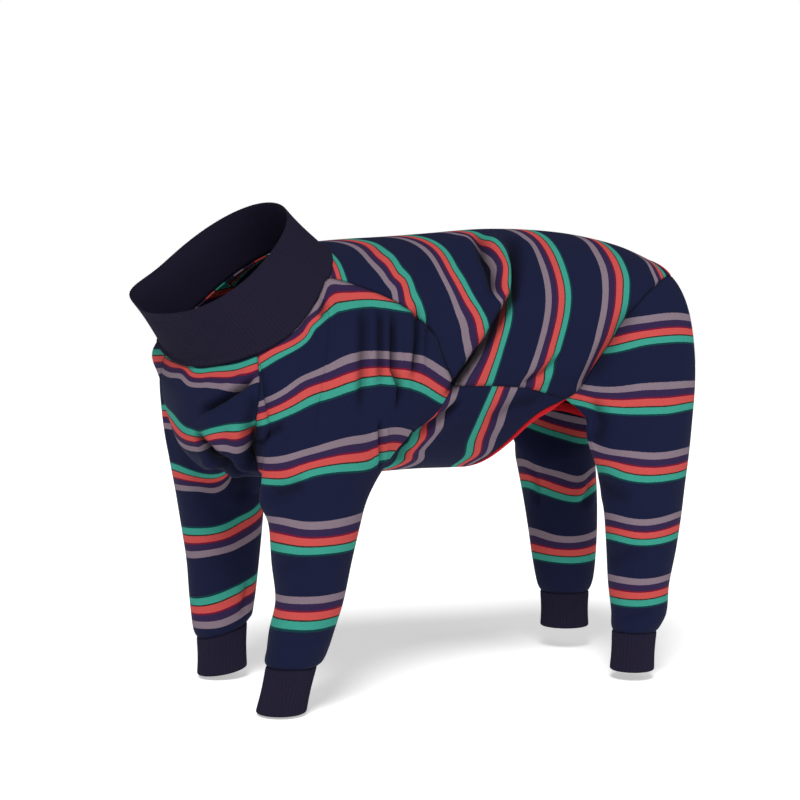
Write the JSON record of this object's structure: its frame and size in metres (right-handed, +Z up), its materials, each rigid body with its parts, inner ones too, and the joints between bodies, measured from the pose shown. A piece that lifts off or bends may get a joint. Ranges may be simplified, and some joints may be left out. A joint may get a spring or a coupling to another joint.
{
  "type": "dog jumpsuit",
  "caption": "Four-legged stretch jersey jumpsuit for a medium dog, with a rib collar, rib cuffs and a bound rear opening, in the form it has when worn.",
  "frame": {"origin": "on the inner face of the back panel, at the middle of its length and width, where the garment rests on the wearer's back", "axes": "+X from the neck end towards the rear, +Y towards the wearer's right, +Z up, away from the wearer's back"},
  "size_m": [0.4634, 0.2049, 0.3865],
  "materials": {
    "striped_jersey": "soft matt stretch jersey, navy with repeating coloured stripes",
    "dark_rib": "matt rib knit, near-black navy",
    "red_binding": "matt rib knit binding, bright red"
  },
  "bodies": {
    "root": {"back_panel": "striped_jersey", "belly_panel": "striped_jersey", "sleeve_left": "striped_jersey", "sleeve_right": "striped_jersey", "hind_leg_left": "striped_jersey", "hind_leg_right": "striped_jersey", "collar": "dark_rib", "cuff_front_left": "dark_rib", "cuff_front_right": "dark_rib", "cuff_hind_left": "dark_rib", "cuff_hind_right": "dark_rib", "opening_binding": "red_binding"}
  },
  "joints": []
}
